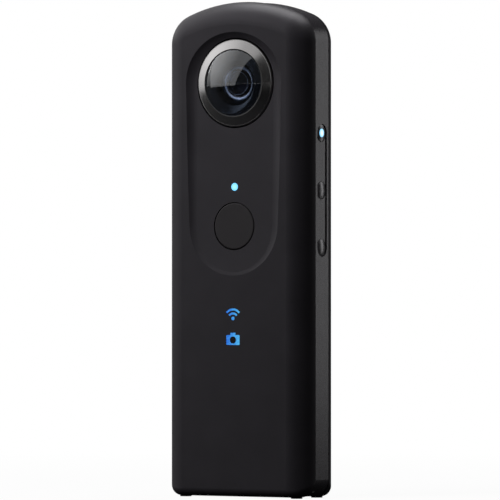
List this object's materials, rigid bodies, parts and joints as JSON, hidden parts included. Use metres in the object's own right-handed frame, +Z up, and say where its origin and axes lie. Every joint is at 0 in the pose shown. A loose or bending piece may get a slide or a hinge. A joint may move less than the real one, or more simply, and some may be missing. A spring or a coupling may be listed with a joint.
{
  "type": "360 degree camera",
  "caption": "Slim upright hand-held camera with back-to-back fisheye lenses, a scooped face with a round shutter button, and small side buttons.",
  "frame": {"origin": "on the ground under the middle of the body", "axes": "+Z up, front lens faces -Y, +X to the right seen from the front"},
  "size_m": [0.044, 0.023, 0.13],
  "materials": {
    "cover_plastic": "soft-touch black, fine satin",
    "frame_plastic": "satin charcoal",
    "plate_plastic": "matte black",
    "ring_metal": "turned, fine rings",
    "dome_glass": "clear, violet-blue coating",
    "inner_glass": "clear, coated",
    "baffle_black": "black with a bright lip",
    "barrel_plastic": "matte black",
    "eye_plastic": "gloss black",
    "sensor_ceramic": "smooth",
    "circuit_board": "green solder mask",
    "shutter_plastic": "satin black",
    "side_button_plastic": "satin black",
    "plunger_plastic": "white",
    "switch_metal": "satin",
    "status_light": "lit, clear blue",
    "power_light": "lit, clear blue",
    "sign_light": "lit, clear blue",
    "led_resin": "clear resin",
    "chip_plastic": "moulded black",
    "can_steel": "tinned",
    "battery_wrap": "silver-grey foil",
    "pad_foam": "foam",
    "speaker_plastic": "black",
    "antenna_copper": "printed copper",
    "socket_steel": "stamped",
    "nut_brass": "turned",
    "screw_steel": "black zinc"
  },
  "bodies": {
    "body": {"antenna": "antenna_copper", "battery": "battery_wrap", "battery_pad": "pad_foam", "board_screws": "screw_steel", "bottom_plate": "plate_plastic", "camera_sign": "sign_light", "camera_sign_eye": "eye_plastic", "frame_screws": "screw_steel", "front_baffle_ring": "baffle_black", "front_cover": "cover_plastic", "front_fisheye_dome": "dome_glass", "front_image_sensor": "sensor_ceramic", "front_leds": "led_resin", "front_lens_barrel": "barrel_plastic", "front_lens_ring": "ring_metal", "front_prism": "inner_glass", "front_relay_lens": "inner_glass", "front_second_lens": "inner_glass", "front_sensor_board": "circuit_board", "hdmi_socket": "socket_steel", "main_board": "circuit_board", "microphone": "can_steel", "mid_frame": "frame_plastic", "mode_switch": "switch_metal", "optical_block": "barrel_plastic", "optical_screws": "screw_steel", "port_board": "circuit_board", "power_led": "led_resin", "power_switch": "switch_metal", "prism_shield": "barrel_plastic", "processor": "chip_plastic", "rear_baffle_ring": "baffle_black", "rear_cover": "cover_plastic", "rear_fisheye_dome": "dome_glass", "rear_image_sensor": "sensor_ceramic", "rear_lens_barrel": "barrel_plastic", "rear_lens_ring": "ring_metal", "rear_prism": "inner_glass", "rear_relay_lens": "inner_glass", "rear_second_lens": "inner_glass", "rear_sensor_board": "circuit_board", "shield_can": "can_steel", "shutter_switch": "switch_metal", "side_board": "circuit_board", "sign_light_box": "barrel_plastic", "speaker": "speaker_plastic", "status_lamp": "status_light", "tripod_nut": "nut_brass", "usb_socket": "socket_steel", "wireless_sign": "sign_light", "wireless_switch": "switch_metal"},
    "shutter": {"shutter_button": "shutter_plastic", "shutter_plunger": "plunger_plastic"},
    "power": {"power_button": "side_button_plastic", "power_lamp": "power_light", "power_plunger": "plunger_plastic"},
    "wireless": {"wireless_button": "side_button_plastic", "wireless_plunger": "plunger_plastic"},
    "mode": {"mode_button": "side_button_plastic", "mode_plunger": "plunger_plastic"}
  },
  "joints": [
    {"name": "shutter_press", "type": "slide", "parent": "body", "child": "shutter", "axis": [0, 1, 0], "range_m": [0, 0.0004], "stiffness_N_per_m": 3000},
    {"name": "power_press", "type": "slide", "parent": "body", "child": "power", "axis": [-1, 0, 0], "range_m": [0, 0.0003], "stiffness_N_per_m": 3000},
    {"name": "wireless_press", "type": "slide", "parent": "body", "child": "wireless", "axis": [-1, 0, 0], "range_m": [0, 0.0003], "stiffness_N_per_m": 3000},
    {"name": "mode_press", "type": "slide", "parent": "body", "child": "mode", "axis": [-1, 0, 0], "range_m": [0, 0.0003], "stiffness_N_per_m": 3000}
  ]
}
